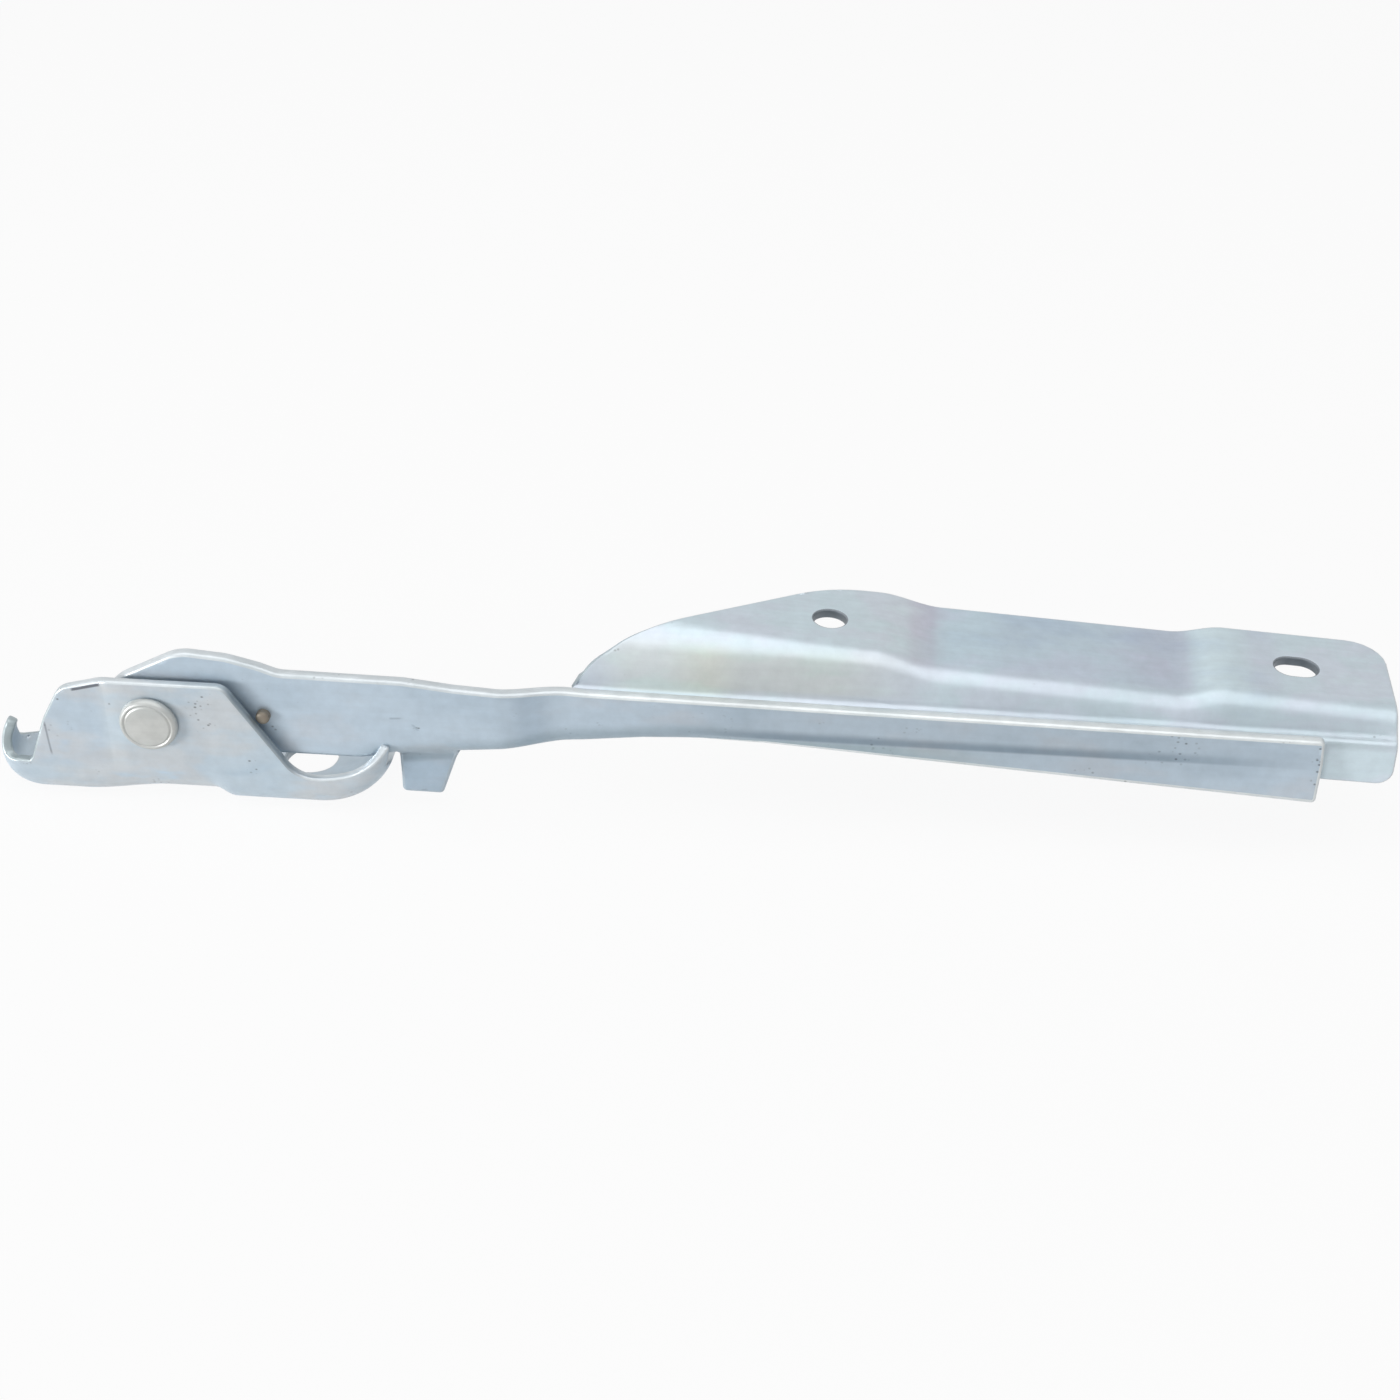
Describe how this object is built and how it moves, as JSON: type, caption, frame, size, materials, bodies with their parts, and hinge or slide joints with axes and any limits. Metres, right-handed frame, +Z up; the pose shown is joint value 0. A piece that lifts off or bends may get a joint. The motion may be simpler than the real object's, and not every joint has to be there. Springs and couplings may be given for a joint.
{
  "type": "bonnet hinge",
  "caption": "Zinc-plated bonnet hinge: stamped body bracket with an open hook, riveted pivot, and a stepped arm that carries a flanged plate bolting to the bonnet.",
  "frame": {"origin": "on the underside of the bracket base, below the pivot axis and on the line of the two base holes", "axes": "+X along the closed arm from the pivot to the bonnet end, +Y from the outer face of the hinge to its rear, +Z up, out of the body panel"},
  "size_m": [0.418, 0.0617, 0.057],
  "materials": {
    "zinc_bracket": "satin zinc plating, blue passivated",
    "zinc_arm": "satin zinc plating, blue passivated",
    "zinc_plate": "satin zinc plating, blue passivated",
    "rivet_steel": "worn, slightly warm",
    "bush_bronze": "sintered, matt",
    "pin_brass": "dull",
    "weld_metal": "rough"
  },
  "bodies": {
    "bracket": {"body_bracket": "zinc_bracket", "pivot_rivet": "rivet_steel", "tail_washer": "zinc_bracket"},
    "arm": {"hinge_arm": "zinc_arm", "pivot_bush": "bush_bronze", "stop_pin": "pin_brass", "hood_plate": "zinc_plate", "weld_plugs": "weld_metal"}
  },
  "joints": [
    {"name": "bonnet_hinge", "type": "hinge", "parent": "bracket", "child": "arm", "pos_m": [0, -0.0175, 0.0297], "axis": [0, -1, 0], "range_deg": [0, 65]}
  ]
}
